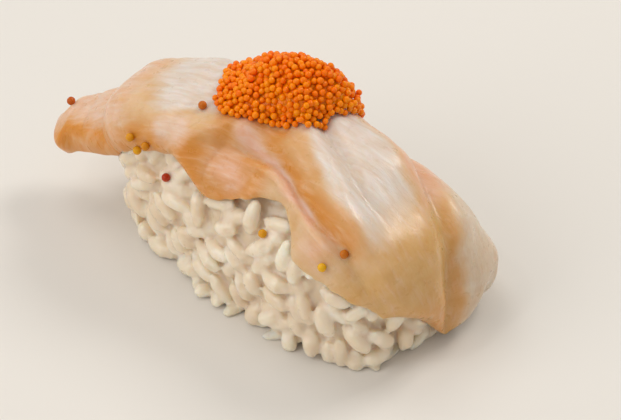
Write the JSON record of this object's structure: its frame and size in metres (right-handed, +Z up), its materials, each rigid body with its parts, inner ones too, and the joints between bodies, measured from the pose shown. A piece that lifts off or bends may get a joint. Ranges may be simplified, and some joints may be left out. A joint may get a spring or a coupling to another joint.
{
  "type": "shrimp nigiri",
  "caption": "Nigiri sushi: a loaf of pressed rice under a draped peeled raw shrimp, with a heap of orange fish roe on its back.",
  "frame": {"origin": "middle of the rice's flat underside, on the surface it stands on", "axes": "+X along the loaf from the shrimp's tail towards its broad end, -Y towards the side where most rice shows, +Z up"},
  "size_m": [0.068, 0.0324, 0.0353],
  "materials": {
    "rice": "moist cooked rice, warm white, slightly glossy",
    "shrimp": "wet translucent raw shrimp, white on its back and tan-pink at its thin edges",
    "roe": "wet glossy orange fish roe"
  },
  "bodies": {
    "root": {"rice": "rice", "shrimp": "shrimp", "roe": "roe"}
  },
  "joints": []
}
